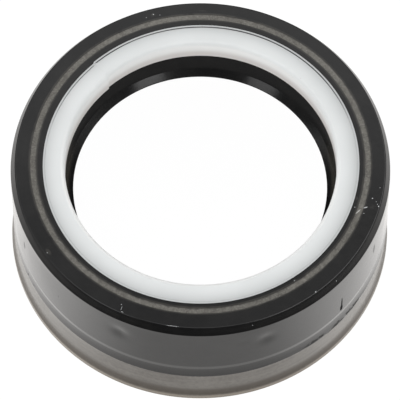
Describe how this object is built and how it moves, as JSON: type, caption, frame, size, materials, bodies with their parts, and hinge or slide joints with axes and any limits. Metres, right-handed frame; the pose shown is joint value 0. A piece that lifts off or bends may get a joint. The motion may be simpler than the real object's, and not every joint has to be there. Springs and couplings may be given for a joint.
{
  "type": "oil seal",
  "caption": "Wide rotary shaft seal: black rubber moulded over a stepped steel case whose bare flared rim shows below, with a white backup ring in its upper face.",
  "frame": {"origin": "on the shaft's axis, in the plane of the steel case's rim on the oil side, which is the bottom of the part", "axes": "+Z along the shaft from the oil side to the air side; the part is round about Z, and X and Y are equal"},
  "size_m": [0.0654, 0.0654, 0.025],
  "materials": {
    "rubber": "smooth moulded black rubber with a gloss",
    "case": "grey phosphated sheet steel, dull and mottled",
    "ring": "turned white fluoroplastic, waxy and smooth",
    "spring": "close-wound spring wire"
  },
  "bodies": {
    "root": {"rubber_body": "rubber", "steel_case": "case", "backup_ring": "ring", "garter_spring": "spring"}
  },
  "joints": []
}
